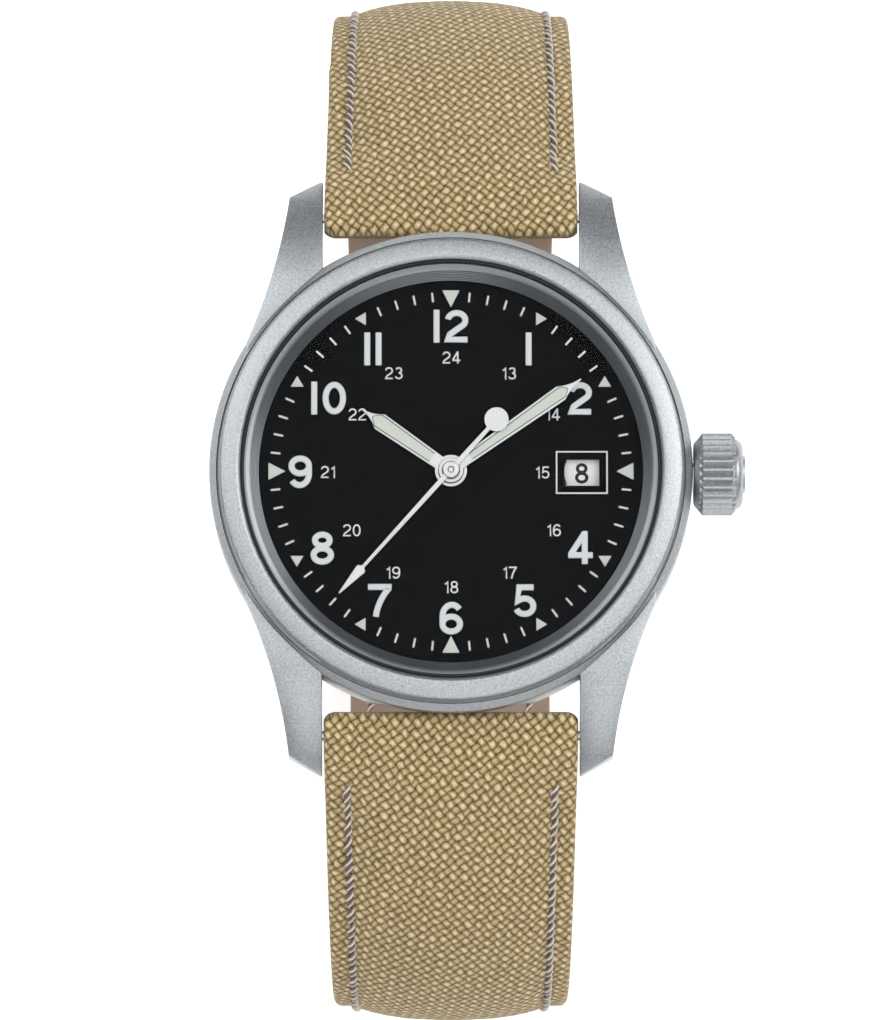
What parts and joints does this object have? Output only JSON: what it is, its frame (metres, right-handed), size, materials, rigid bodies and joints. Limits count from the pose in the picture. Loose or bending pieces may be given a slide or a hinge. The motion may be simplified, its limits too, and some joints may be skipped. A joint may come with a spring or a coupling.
{
  "type": "wristwatch",
  "caption": "Round steel wristwatch with a black 12 and 24 hour dial, date window, fluted crown, wound movement and a padded canvas strap, open at its buckle.",
  "frame": {"origin": "middle of the case back's flat outer face", "axes": "+Z out through the dial, +Y to 12 o'clock, +X to 3 o'clock and the crown"},
  "size_m": [0.0422, 0.0827, 0.0767],
  "materials": {
    "blasted_steel": "bead-blasted, matte grey",
    "polished_steel": "polished",
    "brass": "fine-grained",
    "sapphire": "clear, slightly domed",
    "black_lacquer": "satin black dial lacquer",
    "white_lacquer": "white date disc",
    "black_rubber": "moulded seal",
    "hand_steel": "satin white metal with pale lume",
    "sand_canvas": "plain-woven padded canvas with pale stitching",
    "taupe_leather": "matte lining leather"
  },
  "bodies": {
    "case": {"mid_case": "blasted_steel", "bezel": "blasted_steel", "crystal": "sapphire", "crystal_gasket": "black_rubber", "rehaut_ring": "blasted_steel", "dial": "black_lacquer", "movement_ring": "polished_steel", "caseback": "blasted_steel", "caseback_gasket": "black_rubber", "crown_tube": "polished_steel", "mainplate": "brass", "barrel_bridge": "brass", "train_bridge": "brass", "balance_cock": "brass", "spring_bar_12": "polished_steel", "spring_bar_6": "polished_steel", "hairspring": "polished_steel"},
    "strap_12": {"strap_12_canvas": "sand_canvas", "strap_12_lining": "taupe_leather", "fixed_keeper": "sand_canvas"},
    "strap_6": {"strap_6_canvas": "sand_canvas", "strap_6_lining": "taupe_leather"},
    "free_keeper": {"free_keeper": "sand_canvas"},
    "buckle": {"buckle_frame": "blasted_steel", "buckle_bar": "polished_steel"},
    "tongue": {"buckle_tongue": "polished_steel"},
    "pin_12_crown_side": {"spring_pin_12_crown_side": "polished_steel"},
    "pin_12_far_side": {"spring_pin_12_far_side": "polished_steel"},
    "pin_6_crown_side": {"spring_pin_6_crown_side": "polished_steel"},
    "pin_6_far_side": {"spring_pin_6_far_side": "polished_steel"},
    "crown_seal": {"crown_gasket": "black_rubber"},
    "crown": {"crown": "blasted_steel", "winding_stem": "polished_steel"},
    "winding_pinion": {"winding_pinion": "polished_steel"},
    "sliding_pinion": {"sliding_pinion": "polished_steel"},
    "crown_wheel": {"crown_wheel": "polished_steel"},
    "barrel_arbor": {"barrel_arbor": "polished_steel", "ratchet_wheel": "polished_steel", "mainspring": "polished_steel"},
    "click": {"click": "polished_steel"},
    "barrel": {"barrel_drum": "brass"},
    "centre": {"centre_wheel": "brass", "centre_pinion": "polished_steel"},
    "third": {"third_wheel": "brass", "third_pinion": "polished_steel"},
    "seconds": {"fourth_wheel": "brass", "fourth_pinion": "polished_steel", "seconds_hand": "hand_steel"},
    "escape": {"escape_wheel": "polished_steel", "escape_pinion": "polished_steel"},
    "pallet_fork": {"pallet_fork": "polished_steel"},
    "balance": {"balance_wheel": "brass", "balance_staff": "polished_steel"},
    "minute": {"cannon_pinion": "polished_steel", "minute_hand": "hand_steel"},
    "minute_wheel": {"minute_wheel": "brass"},
    "hour": {"hour_wheel": "brass", "hour_hand": "hand_steel"},
    "date_ring": {"date_ring": "white_lacquer"}
  },
  "joints": [
    {"name": "strap_12_swing", "type": "hinge", "parent": "case", "child": "strap_12", "pos_m": [0, 0.02055, 0.0029], "axis": [1, 0, 0], "range_deg": [0, 60]},
    {"name": "strap_6_swing", "type": "hinge", "parent": "case", "child": "strap_6", "pos_m": [0, -0.02055, 0.0029], "axis": [-1, 0, 0], "range_deg": [0, 60]},
    {"name": "free_keeper_slide", "type": "slide", "parent": "strap_12", "child": "free_keeper", "axis": [0, -0.3799, -0.925], "range_m": [-0.002, 0.002]},
    {"name": "buckle_swing", "type": "hinge", "parent": "strap_12", "child": "buckle", "pos_m": [0, 0.02235, -0.05782], "axis": [1, 0, 0], "range_deg": [-45, 45]},
    {"name": "tongue_swing", "type": "hinge", "parent": "buckle", "child": "tongue", "pos_m": [0, 0.02235, -0.05782], "axis": [1, 0, 0], "range_deg": [0, 65]},
    {"name": "spring_pin_12_crown_side_press", "type": "slide", "parent": "case", "child": "pin_12_crown_side", "axis": [-1, 0, 0], "range_m": [0, 0.0012], "stiffness_N_per_m": 500, "springref_m": -0.0005},
    {"name": "spring_pin_12_far_side_press", "type": "slide", "parent": "case", "child": "pin_12_far_side", "axis": [1, 0, 0], "range_m": [0, 0.0012], "stiffness_N_per_m": 500, "springref_m": -0.0005},
    {"name": "spring_pin_6_crown_side_press", "type": "slide", "parent": "case", "child": "pin_6_crown_side", "axis": [-1, 0, 0], "range_m": [0, 0.0012], "stiffness_N_per_m": 500, "springref_m": -0.0005},
    {"name": "spring_pin_6_far_side_press", "type": "slide", "parent": "case", "child": "pin_6_far_side", "axis": [1, 0, 0], "range_m": [0, 0.0012], "stiffness_N_per_m": 500, "springref_m": -0.0005},
    {"name": "crown_pull", "type": "slide", "parent": "case", "child": "crown_seal", "axis": [1, 0, 0], "range_m": [0, 0.0012]},
    {"name": "crown_turn", "type": "hinge", "parent": "crown_seal", "child": "crown", "pos_m": [0.0191, 0, 0.0043], "axis": [1, 0, 0], "continuous": true},
    {"name": "winding_pinion_spin", "type": "hinge", "parent": "case", "child": "winding_pinion", "pos_m": [0.0095, 0, 0.0043], "axis": [1, 0, 0], "continuous": true},
    {"name": "sliding_pinion_spin", "type": "hinge", "parent": "case", "child": "sliding_pinion", "pos_m": [0.0083, 0, 0.0043], "axis": [1, 0, 0], "continuous": true},
    {"name": "crown_wheel_spin", "type": "hinge", "parent": "case", "child": "crown_wheel", "pos_m": [0.0081, 0, 0.0021], "axis": [0, 0, -1], "continuous": true},
    {"name": "barrel_arbor_spin", "type": "hinge", "parent": "case", "child": "barrel_arbor", "pos_m": [0.00361, 0.00516, 0.0036], "axis": [0, 0, -1], "continuous": true},
    {"name": "click_pivot", "type": "hinge", "parent": "case", "child": "click", "pos_m": [-0.00188, 0.00833, 0.0021], "axis": [0, 0, 1], "range_deg": [0, 8], "stiffness_Nm_per_rad": 0.00001},
    {"name": "seconds_spin", "type": "hinge", "parent": "case", "child": "seconds", "pos_m": [0, 0, 0.0029], "axis": [0, 0, -1], "continuous": true},
    {"name": "third_spin", "type": "hinge", "parent": "case", "child": "third", "pos_m": [0.0027, -0.00468, 0.0033], "axis": [0, 0, -1], "continuous": true},
    {"name": "centre_spin", "type": "hinge", "parent": "case", "child": "centre", "pos_m": [0, 0, 0.0034], "axis": [0, 0, -1], "continuous": true},
    {"name": "barrel_spin", "type": "hinge", "parent": "case", "child": "barrel", "pos_m": [0.00361, 0.00516, 0.0036], "axis": [0, 0, -1], "continuous": true},
    {"name": "escape_spin", "type": "hinge", "parent": "case", "child": "escape", "pos_m": [-0.00459, -0.00265, 0.003], "axis": [0, 0, -1], "continuous": true},
    {"name": "pallet_fork_rock", "type": "hinge", "parent": "case", "child": "pallet_fork", "pos_m": [-0.00507, -0.00536, 0.0031], "axis": [0, 0, -1], "range_deg": [-5, 5]},
    {"name": "balance_swing", "type": "hinge", "parent": "case", "child": "balance", "pos_m": [-0.0026, -0.008, 0.0037], "axis": [0, 0, -1], "range_deg": [-220, 220], "stiffness_Nm_per_rad": 0.0000003},
    {"name": "minute_spin", "type": "hinge", "parent": "case", "child": "minute", "pos_m": [0, 0, 0.0054], "axis": [0, 0, -1], "continuous": true},
    {"name": "minute_wheel_spin", "type": "hinge", "parent": "case", "child": "minute_wheel", "pos_m": [-0.003, 0, 0.0054], "axis": [0, 0, -1], "continuous": true},
    {"name": "hour_spin", "type": "hinge", "parent": "case", "child": "hour", "pos_m": [0, 0, 0.0056], "axis": [0, 0, -1], "continuous": true},
    {"name": "date_ring_spin", "type": "hinge", "parent": "case", "child": "date_ring", "pos_m": [0, 0, 0.0055], "axis": [0, 0, -1], "continuous": true}
  ],
  "couplings": [
    {"joint": "winding_pinion_spin", "follows": "crown_turn", "ratio": 1},
    {"joint": "sliding_pinion_spin", "follows": "crown_turn", "ratio": 1},
    {"joint": "crown_wheel_spin", "follows": "crown_turn", "ratio": -0.6},
    {"joint": "barrel_arbor_spin", "follows": "crown_turn", "ratio": 0.21429},
    {"joint": "third_spin", "follows": "seconds_spin", "ratio": -0.13333},
    {"joint": "centre_spin", "follows": "seconds_spin", "ratio": 0.016667},
    {"joint": "barrel_spin", "follows": "seconds_spin", "ratio": -0.0020833},
    {"joint": "escape_spin", "follows": "seconds_spin", "ratio": -12},
    {"joint": "minute_wheel_spin", "follows": "minute_spin", "ratio": -0.33333},
    {"joint": "hour_spin", "follows": "minute_spin", "ratio": 0.083333}
  ]
}
